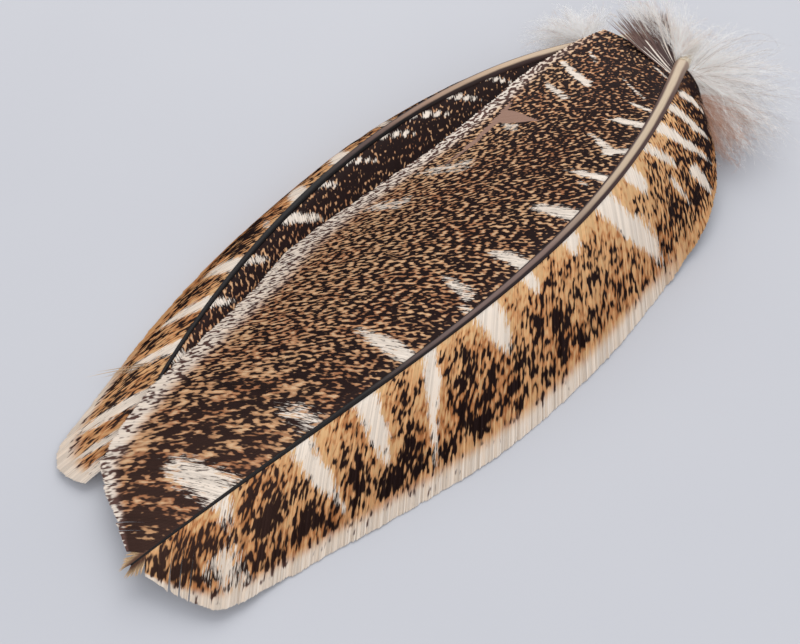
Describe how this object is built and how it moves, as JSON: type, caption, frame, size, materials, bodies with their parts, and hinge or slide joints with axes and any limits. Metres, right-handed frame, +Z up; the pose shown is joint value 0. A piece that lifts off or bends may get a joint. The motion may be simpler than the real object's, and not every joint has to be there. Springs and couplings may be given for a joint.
{
  "type": "quill pen pair",
  "caption": "Matched left and right quill pens of mottled wing feather, laid one over the other: hollow barrel with cut nib, arched shaft, webs of barbs and down.",
  "frame": {"origin": "centre of the pair's box, on the table that it lies on", "axes": "+Z up; +Y along the quills from the feather tips to the nibs; +X towards the upper quill's narrow web"},
  "size_m": [0.1238, 0.3029, 0.0312],
  "materials": {
    "barrel_horn": "translucent pale horn, lightly polished",
    "shaft_horn": "horn, cream at the barrel running to black at the tip",
    "dry_membrane": "papery dried membrane",
    "pith_foam": "fine white foam",
    "down": "loose pale grey-brown fibres",
    "dark_barbs": "dark loose barbs",
    "broad_web": "hooked barbs, fine dark and tan mottling with cream bars",
    "narrow_web": "hooked barbs, tan with dark blotches, cream bars and a cream margin"
  },
  "bodies": {
    "lower_quill": {"lower_barrel": "barrel_horn", "lower_pulp_caps": "dry_membrane", "lower_shaft": "shaft_horn", "lower_pith": "pith_foam", "lower_inner_vane": "broad_web", "lower_outer_vane": "narrow_web", "lower_outer_tip_web": "narrow_web", "lower_stray_barb": "narrow_web", "lower_inner_down": "down", "lower_outer_down": "down"},
    "upper_quill": {"upper_barrel": "barrel_horn", "upper_pulp_caps": "dry_membrane", "upper_shaft": "shaft_horn", "upper_pith": "pith_foam", "upper_inner_vane": "broad_web", "upper_outer_vane": "narrow_web", "upper_inner_tip_web": "broad_web", "upper_outer_tip_web": "narrow_web", "upper_tip_tuft": "narrow_web", "upper_basal_barbs": "dark_barbs", "upper_inner_down": "down", "upper_outer_down": "down"}
  },
  "joints": [
    {"name": "upper_quill_lift", "type": "slide", "parent": "lower_quill", "child": "upper_quill", "axis": [0, 0, 1], "range_m": [0, 0.1]}
  ]
}
